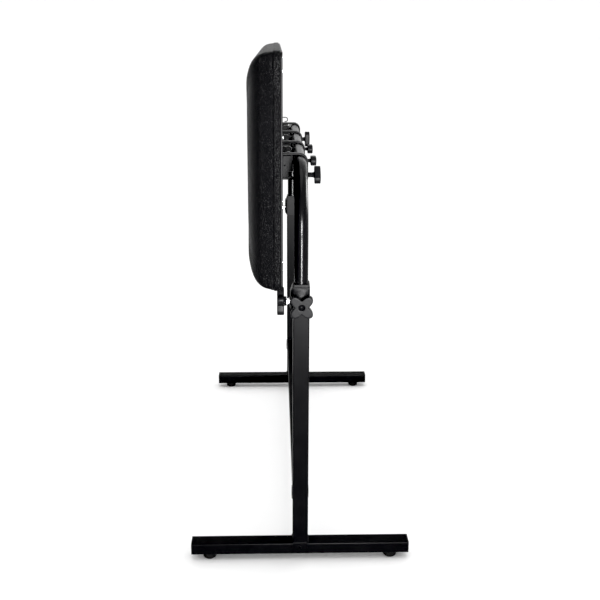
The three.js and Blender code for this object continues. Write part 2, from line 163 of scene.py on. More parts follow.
# %% Finish helper
finishes = {}


def ramp_between(tree, factor, low, high):
    spread = tree.nodes.new("ShaderNodeMapRange")
    spread.inputs["To Min"].default_value, spread.inputs["To Max"].default_value = low, high
    tree.links.new(factor, spread.inputs["Value"])
    return spread.outputs["Result"]


def noise_on(tree, place, scale, detail=3.0):
    noise = tree.nodes.new("ShaderNodeTexNoise")
    noise.inputs["Scale"].default_value, noise.inputs["Detail"].default_value = scale, detail
    tree.links.new(place, noise.inputs["Vector"])
    return noise.outputs["Fac"]


def new_finish(slot, dark, light, rough, patch_scale, grain_scale, grain_depth, metallic=0.0, specular=0.5):
    material = bpy.data.materials.new(slot)
    material.use_nodes = True
    tree = material.node_tree
    shader = tree.nodes["Principled BSDF"]
    place = tree.nodes.new("ShaderNodeTexCoord").outputs["Object"]
    patches = noise_on(tree, place, patch_scale)
    blend = tree.nodes.new("ShaderNodeMix")
    blend.data_type = "RGBA"
    blend.inputs["A"].default_value, blend.inputs["B"].default_value = (*dark, 1), (*light, 1)
    tree.links.new(patches, blend.inputs["Factor"])
    tree.links.new(blend.outputs["Result"], shader.inputs["Base Color"])
    tree.links.new(ramp_between(tree, patches, *rough), shader.inputs["Roughness"])
    bump = tree.nodes.new("ShaderNodeBump")
    bump.inputs["Distance"].default_value = grain_depth
    tree.links.new(noise_on(tree, place, grain_scale, 2.0), bump.inputs["Height"])
    tree.links.new(bump.outputs["Normal"], shader.inputs["Normal"])
    shader.inputs["Metallic"].default_value = metallic
    shader.inputs["Specular IOR Level"].default_value = specular
    finishes[slot] = material
    return material, shader, bump, place


# %% [markdown]
# Powder coat is a melted plastic powder: it flows into a skin with a faint orange peel. The bent tube
# has a smoother, glossier coat, so it gets a clear layer on top and a shallower peel.

# %% Coated steel
new_finish(
    "powder_coat", (0.0010, 0.0010, 0.0011), (0.0019, 0.0019, 0.0021), (0.26, 0.32), 24, 900, 0.00004,
    specular=0.018,
)
_, gloss_shader, _, _ = new_finish(
    "gloss_tube", (0.0008, 0.0008, 0.0009), (0.0015, 0.0015, 0.0017), (0.22, 0.28), 18, 500, 0.00001,
    specular=0.055,
)
gloss_shader.inputs["Coat Weight"].default_value = 0.05
gloss_shader.inputs["Coat Roughness"].default_value = 0.12
print("coats:", sorted(finishes))

# %% [markdown]
# Moulded knobs and bushes carry the fine spark texture of their mould, so their faces scatter light
# and look greyer than the steel. Rubber is darker and almost matt. Zinc plate is a metal with soft
# patches, and the board inside the pad is plywood, which only the CAD shows.

# %% Plastic, rubber, zinc and plywood
new_finish(
    "black_plastic", (0.0018, 0.0018, 0.0020), (0.0032, 0.0032, 0.0035), (0.30, 0.38), 60, 1600, 0.00006,
    specular=0.03,
)
new_finish(
    "rubber", (0.0015, 0.0015, 0.0015), (0.003, 0.003, 0.003), (0.70, 0.88), 80, 900, 0.0001,
    specular=0.03,
)
new_finish("zinc", (0.50, 0.50, 0.51), (0.68, 0.68, 0.69), (0.22, 0.38), 140, 1200, 0.00003, metallic=1.0)
new_finish("plywood", (0.36, 0.22, 0.11), (0.58, 0.40, 0.22), (0.6, 0.75), 12, 300, 0.0001)
print("more finishes:", len(finishes))

# %% [markdown]
# Upholstery vinyl is pressed with a leather grain: small cells between fine creases. A Voronoi texture
# that measures the distance to the cell's edge gives the creases, a noise bends them so that they
# don't look drawn with a ruler, and a finer noise breaks up the gloss on top of each cell.

# %% Vinyl
vinyl, vinyl_shader, vinyl_bump, vinyl_place = new_finish(
    "vinyl", (0.0010, 0.0010, 0.0011), (0.0018, 0.0018, 0.0020), (0.30, 0.36), 9, 1500, 0.00005,
    specular=0.024,
)
tree = vinyl.node_tree
wander = tree.nodes.new("ShaderNodeTexNoise")
wander.inputs["Scale"].default_value = 160
tree.links.new(vinyl_place, wander.inputs["Vector"])
bend = tree.nodes.new("ShaderNodeVectorMath")
bend.operation = "MULTIPLY_ADD"
bend.inputs[1].default_value = (0.0015, 0.0015, 0.0015)
tree.links.new(wander.outputs["Color"], bend.inputs[0])
tree.links.new(vinyl_place, bend.inputs[2])
cells = tree.nodes.new("ShaderNodeTexVoronoi")
cells.feature = "DISTANCE_TO_EDGE"
cells.inputs["Scale"].default_value = 300
tree.links.new(bend.outputs["Vector"], cells.inputs["Vector"])
crease = tree.nodes.new("ShaderNodeMapRange")
crease.inputs["From Max"].default_value = 0.22
tree.links.new(cells.outputs["Distance"], crease.inputs["Value"])
creased = tree.nodes.new("ShaderNodeBump")
creased.inputs["Distance"].default_value = 0.0006
tree.links.new(crease.outputs["Result"], creased.inputs["Height"])
tree.links.new(vinyl_bump.outputs["Normal"], creased.inputs["Normal"])
tree.links.new(creased.outputs["Normal"], vinyl_shader.inputs["Normal"])
print("vinyl nodes:", len(tree.nodes))

# %% [markdown]
# Every CAD node gets its slot's finish, including those that a finer piece stands for later.

# %% Finish the CAD nodes
for part in frame["record"]["subparts"]:
    node = frame["nodes"][part["node"]]
    node.data.materials.clear()
    node.data.materials.append(finishes[part["material_slot"]])
slot_of = {part["node"]: part["material_slot"] for part in frame["record"]["subparts"]}
body_of = {node: body for body, nodes in frame["record"]["behaviour"]["bodies"].items() for node in nodes}
print("finished CAD nodes:", len(slot_of))

# %% [markdown]
# Three small helpers do the bookkeeping for every piece. `skin` turns points and faces into a clean
# mesh. `baked` keeps what the modifiers made as the mesh itself. `fit` gives a piece its finish, lets
# it ride on a body and hides the CAD nodes that it stands for.

# %% Piece helpers
def skin(name, points, faces):
    mesh = bpy.data.meshes.new(name)
    mesh.from_pydata([tuple(p) for p in points], [], faces)
    tidy = bmesh.new()
    tidy.from_mesh(mesh)
    bmesh.ops.remove_doubles(tidy, verts=tidy.verts, dist=1e-6)
    bmesh.ops.recalc_face_normals(tidy, faces=tidy.faces)
    tidy.to_mesh(mesh)
    tidy.free()
    piece = bpy.data.objects.new(name, mesh)
    bpy.context.scene.collection.objects.link(piece)
    return piece


def smooth(piece, angle=38):
    piece.data.shade_smooth()
    piece.data.set_sharp_from_angle(angle=radians(angle))
    return piece


def baked(piece):
    seen = piece.evaluated_get(bpy.context.evaluated_depsgraph_get())
    mesh = bpy.data.meshes.new_from_object(seen)
    piece.modifiers.clear()
    piece.data = mesh
    return piece


def eased(piece, width):
    bevel = piece.modifiers.new("eased_edges", "BEVEL")
    bevel.width, bevel.segments, bevel.limit_method = width, 3, "ANGLE"
    bevel.angle_limit = radians(38)
    smooth(baked(piece))
    flat = piece.modifiers.new("flat_faces_stay_flat", "WEIGHTED_NORMAL")
    flat.keep_sharp = True
    return baked(piece)


def fit(piece, body, slot, *nodes):
    piece.data.materials.clear()
    piece.data.materials.append(finishes[slot])
    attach(piece, body)
    if nodes:
        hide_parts(*nodes)
    return piece


# %% [markdown]
# A rolled or moulded part never has a knife edge. `refined` copies a CAD node, merges its loose
# triangles back into whole faces and rounds every sharp edge by a fraction of a millimetre, so that
# each edge catches a thin line of light.

# %% Refined copies
def refined(node, width):
    mesh = frame["nodes"][node].data.copy()
    whole = bmesh.new()
    whole.from_mesh(mesh)
    bmesh.ops.remove_doubles(whole, verts=whole.verts, dist=1e-5)
    bmesh.ops.dissolve_limit(whole, angle_limit=radians(1), verts=whole.verts, edges=whole.edges)
    whole.to_mesh(mesh)
    whole.free()
    piece = bpy.data.objects.new(node + "_finished", mesh)
    bpy.context.scene.collection.objects.link(piece)
    eased(piece, width)
    return fit(piece, body_of[node], slot_of[node], node)


ENDS = {"right": 1, "left": -1}
refined("stretcher_beam", 0.0004)
for end in ENDS:
    refined(f"{end}_foot", 0.0004)
    refined(f"{end}_post", 0.0004)
    refined(f"{end}_foot_saddle", 0.0011)
    refined(f"{end}_foot_front_cap", 0.0009)
    refined(f"{end}_foot_rear_cap", 0.0009)
    refined(f"{end}_post_collar", 0.0008)
    refined(f"{end}_guide_bush", 0.0009)
    refined(f"{end}_side_lock_nut", 0.0004)
    refined(f"{end}_front_lock_nut", 0.0004)
for number in range(1, 5):
    refined(f"clamp_bracket_{number}", 0.0010)
refined("pad_back_panel", 0.0014)
print("refined copies made")

# %% [markdown]
# Round and swept parts are made from rings of points. `rings_to_faces` joins each ring to the next,
# and closes the two ends. `turned` spins a profile of radius and height about a line, as a lathe does,
# and `facing` says where that line points.

# %% Ring helpers
def rings_to_faces(rings, loop=False):
    count, faces = len(rings[0]), []
    steps = len(rings) if loop else len(rings) - 1
    for k in range(steps):
        a, b = k * count, ((k + 1) % len(rings)) * count
        faces += [(a + i, a + (i + 1) % count, b + (i + 1) % count, b + i) for i in range(count)]
    if not loop:
        faces.append(tuple(range(count)))
        faces.append(tuple((len(rings) - 1) * count + i for i in range(count)))
    return [p for ring in rings for p in ring], faces


def facing(direction, place, spin=0.0):
    turn = Vector(direction).to_track_quat("Z", "Y").to_matrix().to_4x4()
    return Matrix.Translation(Vector(place)) @ turn @ Matrix.Rotation(spin, 4, "Z")


def turned(name, profile, where, sides=40):
    rings = []
    for radius, height in profile:
        corners = [2 * pi * i / sides for i in range(sides)]
        rings.append([where @ Vector((radius * cos(a), radius * sin(a), height)) for a in corners])
    return smooth(skin(name, *rings_to_faces(rings)))


# %% [markdown]
# The four glides are turned rubber pucks with a soft lower edge, screwed up into the foot tubes.

# %% Glides
for end in ENDS:
    for side in ("front", "rear"):
        low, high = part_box(f"{end}_{side}_glide")
        centre, radius, height = (low + high) / 2, (high.x - low.x) / 2, high.z - low.z
        edge = [(radius - 0.006 + 0.006 * sin(a), 0.006 - 0.006 * cos(a)) for a in np.linspace(0, pi / 2, 7)]
        profile = [(0.0005, 0.0), (radius - 0.010, 0.0), *edge, (radius, height * 0.55)]
        profile += [(radius - 0.001, height * 0.62), (radius - 0.004, height * 0.95)]
        profile += [(radius - 0.005, height)]
        where = facing((0, 0, 1), (centre.x, centre.y, low.z))
        fit(turned(f"{end}_{side}_glide_finished", profile, where), "base", "rubber", f"{end}_{side}_glide")
print("glides: 4")

# %% [markdown]
# The upside down U is one bent tube. Its centre line runs up the left leg, round a wide elbow, along
# the bar and down the right leg. The section is swept along it as one skin, outside and inside, so
# the open lower ends show the tube's wall.

# %% Bent tube
bar_low, bar_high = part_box("cross_bar")
BAR_R = (bar_high.z - bar_low.z) / 2
BAR_Z = (bar_high.z + bar_low.z) / 2
leg_low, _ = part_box("right_leg")
knob_low, knob_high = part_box("right_front_knob")
POST_X = (knob_low.x + knob_high.x) / 2
JOINT_GAP = 0.0003
ELBOW = POST_X - bar_high.x - JOINT_GAP
TUBE_WALL = 0.0015
LEG_LOW = leg_low.z


def bent_line():
    half = [Vector((POST_X, 0, z)) for z in np.linspace(LEG_LOW, BAR_Z - ELBOW, 8)]
    for angle in np.linspace(0, pi / 2, 25)[1:]:
        half.append(Vector((POST_X - ELBOW * (1 - cos(angle)), 0, BAR_Z - ELBOW + ELBOW * sin(angle))))
    half += [Vector((x, 0, BAR_Z)) for x in np.linspace(POST_X - ELBOW, 0, 6)[1:]]
    mirrored = [Vector((-p.x, p.y, p.z)) for p in reversed(half[:-1])]
    return half + mirrored


def swept(line, section, across):
    rings = []
    for k, point in enumerate(line):
        before, after = line[max(k - 1, 0)], line[min(k + 1, len(line) - 1)]
        tangent = (after - before).normalized()
        side = tangent.cross(across).normalized()
        rings.append([point + u * across + v * side for u, v in section])
    return rings


def circle(radius, sides):
    return [(radius * cos(2 * pi * i / sides), radius * sin(2 * pi * i / sides)) for i in range(sides)]


line = bent_line()
outside = swept(line, circle(BAR_R, 48), Vector((0, 1, 0)))
inside = swept(line, circle(BAR_R - TUBE_WALL, 48), Vector((0, 1, 0)))
hoop = smooth(skin("bent_tube", *rings_to_faces(outside + inside[::-1], loop=True)))
fit(hoop, "hoop", "gloss_tube", "cross_bar", "right_leg", "left_leg")
print("bent tube:", len(hoop.data.polygons), "faces, elbow", round(ELBOW * 1000), "mm")

# %% [markdown]
# A swaged ring near each leg's lower end stops the leg from being pulled out of its post. It is a
# closed loop round the tube, made from a small profile with eased corners.

# %% Stop rings
for end, sign in ENDS.items():
    ring_profile = [(BAR_R - 0.0005, 0.001), (BAR_R + 0.0006, 0.001), (BAR_R + 0.001, 0.0016)]
    ring_profile += [(BAR_R + 0.001, 0.0104), (BAR_R + 0.0006, 0.011), (BAR_R - 0.0005, 0.011)]
    rings = []
    for radius, height in ring_profile:
        rings.append([Vector((sign * POST_X + radius * cos(a), radius * sin(a), LEG_LOW + height))
                      for a in np.linspace(0, 2 * pi, 49)[:-1]])
    ring = smooth(skin(f"{end}_stop_ring", *rings_to_faces(rings, loop=True)))
    fit(ring, "hoop", "gloss_tube")
print("stop rings: 2")

# %% [markdown]
# A metric thread is a helix, so the radius of a threaded rod depends on both the angle and the height.
# `threaded` evaluates that rule on a grid, and fades the ridge out at each end.

# %% Threads
def threaded(name, radius, start, end, where, pitch=0.00125, depth=0.0007, sides=20):
    heights = np.arange(start, end, pitch / 5)
    rings = []
    for z in heights:
        fade = min(1.0, (z - start) / pitch, (end - z) / pitch)
        ring = []
        for i in range(sides):
            turn = (z / pitch - i / sides) % 1.0
            groove = depth * (1 - abs(2 * turn - 1)) * fade + 0.0006 * (1 - fade)
            a = 2 * pi * i / sides
            ring.append(where @ Vector(((radius - groove) * cos(a), (radius - groove) * sin(a), z)))
        rings.append(ring)
    return smooth(skin(name, *rings_to_faces(rings)), 60)


def span(node, axis, origin):
    low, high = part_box(node)
    reach = sorted(((low - Vector(origin)).dot(Vector(axis)), (high - Vector(origin)).dot(Vector(axis))))
    return reach[0], reach[1]


# %% [markdown]
# The four-lobe clamping knob is a moulding. Its outline is a circle whose radius rises and falls four
# times a turn, with wide hollows between the lobes for the fingers. The edge is rounded ring by ring
# by drawing the outline in, and the face runs from that outline to the round recess in the middle.

# %% Four-lobe knobs
KNOB_MEAN_RADIUS, KNOB_LOBE = 0.0246, 0.0078


def lobe_radius(angle, inset):
    wave = cos(4 * angle)
    return KNOB_MEAN_RADIUS + KNOB_LOBE * (wave + 0.11 * (1 - wave * wave)) - inset


def lobed_ring(where, height, inset, roundness=0.0, inner=0.0, spin=0.0, count=96):
    ring = []
    for i in range(count):
        a = 2 * pi * i / count
        radius = (1 - roundness) * lobe_radius(a, inset) + roundness * inner
        ring.append(where @ Vector((radius * cos(a + spin), radius * sin(a + spin), height)))
    return ring


def lobed_knob(name, where, hub_length, thickness, spin):
    base, top, ease = hub_length, hub_length + thickness, 0.0026
    hub = ((0.0, 0.0045), (0.0, 0.0102), (0.0006, 0.0108), (base - 0.0012, 0.0110), (base, 0.0122))
    rings = [lobed_ring(where, height, 0, 1, radius, spin) for height, radius in hub]
    rings += [lobed_ring(where, base, 0.004, 0, 0, spin)]
    turns = np.linspace(0, pi / 2, 6)
    rings += [lobed_ring(where, base + ease * (1 - cos(t)), ease * (1 - sin(t)), 0, 0, spin) for t in turns]
    rings += [lobed_ring(where, top - ease * (1 - sin(t)), ease * (1 - cos(t)), 0, 0, spin) for t in turns]
    rings += [lobed_ring(where, top, 0.0045, 0.1, 0.0085, spin)]
    rings += [lobed_ring(where, top, 0.006, r, 0.0088, spin) for r in (0.4, 0.7, 0.95)]
    recess = ((0.0078, 0.0), (0.0072, 0.0003), (0.0067, 0.0012), (0.0064, 0.0030))
    recess += ((0.0058, 0.0050), (0.0024, 0.0085), (0.0020, 0.0088))
    rings += [lobed_ring(where, top - h, 0, 1, r, spin) for r, h in recess]
    return smooth(skin(name, *rings_to_faces(rings)), 50)


KNOB_Z = (knob_low.z + knob_high.z) / 2
KNOB_SPIN = {"side": radians(45), "front": radians(22)}
KNOB_HUB, STUD_RADIUS, STUD_SET_BACK = 0.0053, 0.004, 0.0068
for end, sign in ENDS.items():
    for face, axis in {"side": (sign, 0, 0), "front": (0, -1, 0)}.items():
        knob_node, stud_node = f"{end}_{face}_knob", f"{end}_{face}_stud"
        middle = (sign * POST_X, 0, KNOB_Z)
        start, stop = span(knob_node, axis, middle)
        spin = KNOB_SPIN[face]
        where = facing(axis, Vector(middle) + start * Vector(axis))
        knob = lobed_knob(knob_node + "_finished", where, KNOB_HUB, stop - start - KNOB_HUB, spin)
        fit(knob, f"{end}_{face}_knob_unit", "black_plastic", knob_node)
        near, far = span(stud_node, axis, middle)
        stud = threaded(stud_node + "_finished", STUD_RADIUS, near, far - STUD_SET_BACK, facing(axis, middle))
        fit(stud, f"{end}_{face}_knob_unit", "zinc", stud_node)
print("four-lobe knobs: 4, studs: 4")

# %% [markdown]
# The T-knob has a slim neck that flares into a short cross piece with round ends. The cross piece's
# outer face is crowned, which is why it shows a soft gradient instead of a flat patch of light.

# %% T-knobs
def stadium(length, width, inset, count=64):
    straight, radius = (length - width) / 2, width / 2 - inset
    ring = []
    for i in range(count):
        a = 2 * pi * (i + 0.5) / count
        centre = straight if cos(a) > 0 else -straight
        ring.append((centre + radius * cos(a), radius * sin(a)))
    return ring


def t_knob(name, where, neck_length, length, width, thickness):
    def neck(radius, height):
        rim = stadium(length, width, 0)
        unit = [Vector((x, y)).normalized() * radius for x, y in rim]
        return [where @ Vector((p.x, p.y, height)) for p in unit]

    def cross(height, inset):
        return [where @ Vector((x, y, height)) for x, y in stadium(length, width, inset)]

    def crown(share, height):
        return [where @ Vector((x * share, y * share, height)) for x, y in stadium(length, width, 0.0022)]

    top = neck_length + thickness
    rings = [neck(0.0045, 0), neck(0.0056, 0), neck(0.006, 0.0005), neck(0.0058, neck_length * 0.5)]
    rings += [neck(0.0062, neck_length - 0.003), neck(0.0075, neck_length - 0.0008)]
    rings += [neck(0.0088, neck_length)]
    turns = np.linspace(0, pi / 2, 5)
    rings += [cross(neck_length, 0.004)]
    rings += [cross(neck_length + 0.002 * (1 - cos(t)), 0.002 * (1 - sin(t))) for t in turns]
    rings += [cross(top - 0.0032 + 0.002 * sin(t), 0.0022 * (1 - cos(t))) for t in turns]
    rings += [crown(share, top - 0.0012 * share ** 2) for share in (0.85, 0.6, 0.3, 0.02)]
    return smooth(skin(name, *rings_to_faces(rings)), 50)


T_SPIN = [radians(a) for a in (90, 0, 0, 45)]
T_NECK, T_LENGTH, T_WIDTH = 0.015, 0.047, 0.0235
for number in range(1, 5):
    knob_node, screw_node = f"t_knob_{number}", f"t_screw_{number}"
    low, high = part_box(knob_node)
    middle = Vector(((low.x + high.x) / 2, 0, (low.z + high.z) / 2))
    start, stop = span(knob_node, (0, 1, 0), middle)
    where = facing((0, 1, 0), middle + Vector((0, start, 0)), T_SPIN[number - 1])
    knob = t_knob(knob_node + "_finished", where, T_NECK, T_LENGTH, T_WIDTH, stop - start - T_NECK)
    fit(knob, f"t_knob_unit_{number}", "black_plastic", knob_node)
    near, far = span(screw_node, (0, 1, 0), middle)
    screw = threaded(screw_node + "_finished", STUD_RADIUS, near, far, facing((0, 1, 0), middle))
    fit(screw, f"t_knob_unit_{number}", "zinc", screw_node)
print("T-knobs: 4, T-screws: 4")

# %% [markdown]
# Each strap is a flat steel band rolled over the bar. Its centre line runs back from the board, turns
# a quarter circle round the bar and drops behind it, where the T-knob presses on it.

# %% Straps
def rounded(width, height, radius, steps=4):
    ring = []
    for quarter, (sx, sy) in enumerate(((1, 1), (-1, 1), (-1, -1), (1, -1))):
        cx, cy = sx * (width / 2 - radius), sy * (height / 2 - radius)
        for a in np.linspace(quarter * pi / 2, (quarter + 1) * pi / 2, steps):
            ring.append((cx + radius * cos(a), cy + radius * sin(a)))
    return ring


for number in range(1, 5):
    node = f"clamp_strap_{number}"
    low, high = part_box(node)
    x, width, thick = (low.x + high.x) / 2, high.x - low.x, high.z - BAR_Z - BAR_R - JOINT_GAP
    reach = BAR_R + JOINT_GAP + thick / 2
    line = [Vector((x, y, BAR_Z + reach)) for y in np.linspace(low.y, 0, 6)]
    line += [Vector((x, reach * sin(a), BAR_Z + reach * cos(a))) for a in np.linspace(0, pi / 2, 20)[1:]]
    line += [Vector((x, reach, z)) for z in np.linspace(BAR_Z, low.z, 6)[1:]]
    rings = swept(line, rounded(width, thick, 0.0012), Vector((1, 0, 0)))
    fit(smooth(skin(node + "_finished", *rings_to_faces(rings)), 50), "pad", "powder_coat", node)
print("straps: 4, thickness", round(thick * 1000, 1), "mm")

# %% [markdown]
# A light wire hook sits in the board's back above each clamp. The wire is swept along a line that
# runs straight back and then curls over on itself.

# %% Wire hooks
WIRE, WIRE_BEND, WIRE_REACH = 0.0014, 0.0066, 0.016
for number in range(1, 5):
    node = f"wire_hook_{number}"
    low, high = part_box(node)
    x, top, turn_y = (low.x + high.x) / 2, high.z - WIRE, low.y + WIRE_REACH
    line = [Vector((x, y, top)) for y in np.linspace(low.y, turn_y, 4)]
    for a in np.linspace(pi / 2, pi / 2 - 2.3 * pi / 2, 22)[1:]:
        line.append(Vector((x, turn_y + WIRE_BEND * cos(a), top - WIRE_BEND + WIRE_BEND * sin(a))))
    rings = swept(line, circle(WIRE, 12), Vector((1, 0, 0)))
    fit(smooth(skin(node + "_finished", *rings_to_faces(rings)), 50), "pad", "gloss_tube", node)
print("wire hooks: 4")

# %% [markdown]
# Where a post meets its saddle, and where the beam meets the posts, a welder has run a bead round the
# joint. A bead is a rope of overlapping puddles, so its thickness swells and shrinks along its path.

# %% Weld beads
def weld(name, middle, u, v, size, normal):
    corners = rounded(size, size, 0.003, 5)
    outline = [Vector(middle) + a * Vector(u) + b * Vector(v) for a, b in corners]
    path = []
    for k, point in enumerate(outline):
        following = outline[(k + 1) % len(outline)]
        steps = max(1, round((following - point).length / 0.0006))
        path += [point.lerp(following, i / steps) for i in range(steps)]
    rings, travelled = [], 0.0
    for k, point in enumerate(path):
        outward = (point - Vector(middle)).normalized()
        travelled += (point - path[k - 1]).length if k else 0
        swell = 0.0021 + 0.0003 * abs(sin(pi * travelled / 0.0030))
        arc = [(swell * cos(a), swell * sin(a)) for a in np.linspace(0, 2 * pi, 11)[:-1]]
        rings.append([point + a * outward + b * Vector(normal) for a, b in arc])
    return fit(smooth(skin(name, *rings_to_faces(rings, loop=True)), 80), "base", "powder_coat")


for end, sign in ENDS.items():
    low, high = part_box(f"{end}_post")
    across = high.x - low.x
    weld(f"{end}_post_weld", (sign * POST_X, 0, low.z), (1, 0, 0), (0, 1, 0), across, (0, 0, 1))
    beam_low, beam_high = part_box("stretcher_beam")
    middle = (sign * beam_high.x, 0, (beam_low.z + beam_high.z) / 2)
    weld(f"{end}_beam_weld", middle, (0, 1, 0), (0, 0, 1), across, (1, 0, 0))
print("welds: 4")

# %% [markdown]
# The screw that holds each saddle to its foot has a domed head with a cross recess. The dome is turned
# and the cross is pressed in by lowering the points that lie under it.

# %% Saddle screws
SCREW_HEAD = 0.0026


def pressed_cross(name, where, radius, height, arm, deep):
    corners = np.linspace(0, 2 * pi, 49)[:-1]
    rings = []
    for r in (radius * 0.5, radius):
        rings.append([where @ Vector((r * cos(a), r * sin(a), 0)) for a in corners])
    for share in np.linspace(0, 1, 12):
        r = radius * cos(share * pi / 2) if share < 1 else 0.0001
        z = height * (0.15 + 0.85 * sin(share * pi / 2))
        ring = []
        for a in corners:
            x, y = r * cos(a), r * sin(a)
            in_cross = min(abs(x), abs(y)) < arm / 2 and max(abs(x), abs(y)) < radius * 0.55
            ring.append(where @ Vector((x, y, z - deep * in_cross)))
        rings.append(ring)
    return smooth(skin(name, *rings_to_faces(rings)), 40)


for end, sign in ENDS.items():
    node = f"{end}_saddle_screw"
    low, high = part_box(node)
    middle = (0, 0, (low.z + high.z) / 2)
    _, far = span(node, (sign, 0, 0), middle)
    where = facing((sign, 0, 0), (sign * (far - SCREW_HEAD), 0, middle[2]), radians(30))
    head = pressed_cross(node + "_finished", where, (high.z - low.z) / 2, SCREW_HEAD, 0.0016, 0.0014)
    fit(head, "base", "powder_coat", node)
print("saddle screws: 2")

# %% [markdown]
# The upholstered board is the main piece. Its skin starts as an even grid of squares: a front face, a
# crown that rolls down on all four sides, a straight band and a back. Each grid line keeps its distance
# from the edge along the surface, so the squares stay nearly square and cloth can stretch evenly. The
# crown is a little squarer than an ellipse: foam is stiff, so the cover turns late and then quickly.

# %% Cushion grid
pad_low, pad_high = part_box("pad_cushion")
SLACK = 0.0026
HALF_X = (pad_high.x - pad_low.x) / 2 - SLACK
HALF_Z = (pad_high.z - pad_low.z) / 2 - SLACK
PAD_Z = (pad_high.z + pad_low.z) / 2
PAD_BACK, BAND, CROWN, CORNER = pad_high.y + 0.0002, 0.0162, 0.057 - SLACK, 0.015
CROWN_Y = PAD_BACK - BAND
INSETS = {"x": 0.085, "z": 0.060}  # how far the crown comes in at the ends, and above and below
SQUARE = 2 / 2.4  # the power of sine and cosine that gives the crown its curve


def rolled(inset):
    angles = np.linspace(0, pi / 2, 400)
    over = inset * (1 - np.clip(np.cos(angles), 0, 1) ** SQUARE)
    out = CROWN * np.sin(angles) ** SQUARE
    along = np.concatenate([[0], np.cumsum(np.hypot(np.diff(over), np.diff(out)))])
    return angles, along


ROLLS = {axis: rolled(inset) for axis, inset in INSETS.items()}
LENGTHS = {axis: ROLLS[axis][1][-1] for axis in ROLLS}
BIG_X = HALF_X + LENGTHS["x"] - INSETS["x"]
BIG_Z = HALF_Z + LENGTHS["z"] - INSETS["z"]


def grid_line(half, step):
    edge = [0.0, 0.0015, 0.0045]
    inner = np.linspace(0.0045, half, max(2, round((half - 0.0045) / step)) + 1)[1:]
    side = np.array([*edge, *inner])
    return np.concatenate([-(half - side), (half - side)[::-1][1:]])


# The crown's angle at a distance from each edge; past the crown, how far in on the flat face.
def crown_ring(ex, ez):
    angle_x = np.interp(ex, ROLLS["x"][1], ROLLS["x"][0])
    angle_z = np.interp(ez, ROLLS["z"][1], ROLLS["z"][0])
    flat = max(0.0, min(ex - LENGTHS["x"], ez - LENGTHS["z"]))
    return min(angle_x, angle_z), flat


def cushion_point(px, pz, front):
    angle, flat = crown_ring(max(0.0, BIG_X - abs(px)), max(0.0, BIG_Z - abs(pz)))
    over, depth = 1 - max(0.0, cos(angle)) ** SQUARE, CROWN * max(0.0, sin(angle)) ** SQUARE
    gx = BIG_X - np.interp(angle, *ROLLS["x"]) - flat
    gz = BIG_Z - np.interp(angle, *ROLLS["z"]) - flat
    rx, rz = HALF_X - INSETS["x"] * over - flat, HALF_Z - INSETS["z"] * over - flat
    if not front:
        rx, rz, depth = HALF_X * gx / BIG_X, HALF_Z * gz / BIG_Z, 0.0
    x = px * (rx / gx if gx > 1e-9 else 1.0)
    z = pz * (rz / gz if gz > 1e-9 else 1.0)
    radius = min(CORNER * max(0.0, 1 - flat / 0.06), max(rx, 0.0), max(rz, 0.0))
    if radius > 1e-6:
        cx = min(max(x, -(rx - radius)), rx - radius)
        cz = min(max(z, -(rz - radius)), rz - radius)
        away = hypot(x - cx, z - cz)
        if away > 1e-9:
            x, z = cx + radius * (x - cx) / away, cz + radius * (z - cz) / away
    return x, depth, z


def walls(previous, row):
    after = previous[1:] + previous[:1]
    return list(zip(previous, after, row[1:] + row[:1], row))


def cushion_mesh(step):
    xs, zs = grid_line(BIG_X, step), grid_line(BIG_Z, step)
    nx, nz = len(xs), len(zs)
    points, faces = [], []
    for x in xs:
        for z in zs:
            px, depth, pz = cushion_point(x, z, True)
            points.append((px, CROWN_Y - depth, PAD_Z + pz))
    for x in xs:
        for z in zs:
            px, _, pz = cushion_point(x, z, False)
            points.append((px, PAD_BACK, PAD_Z + pz))

    def at(i, j):
        return i * nz + j

    for i in range(nx - 1):
        for j in range(nz - 1):
            quad = (at(i, j), at(i + 1, j), at(i + 1, j + 1), at(i, j + 1))
            faces += [quad, tuple(nx * nz + k for k in reversed(quad))]
    rim = [at(i, 0) for i in range(nx - 1)] + [at(nx - 1, j) for j in range(nz - 1)]
    rim += [at(i, nz - 1) for i in range(nx - 1, 0, -1)] + [at(0, j) for j in range(nz - 1, 0, -1)]
    previous = rim
    for depth in (0.0015, 0.0045, 0.0080, 0.0115, 0.0148):
        row = list(range(len(points), len(points) + len(rim)))
        points += [(points[k][0], CROWN_Y + depth, points[k][2]) for k in rim]
        faces += walls(previous, row)
        previous = row
    return points, faces + walls(previous, [nx * nz + k for k in rim])


points, faces = cushion_mesh(0.0085)
cushion = skin("cushion", points, faces)
print("cushion grid:", len(points), "points")

# %% [markdown]
# Foam pushes the vinyl outwards, and the cover is held where it wraps the board. Cloth with a little
# pressure and no gravity gives that fullness: the back and the band are pinned, the crown swells, and
# the move of each point is capped so that the pad stays the size it was made.

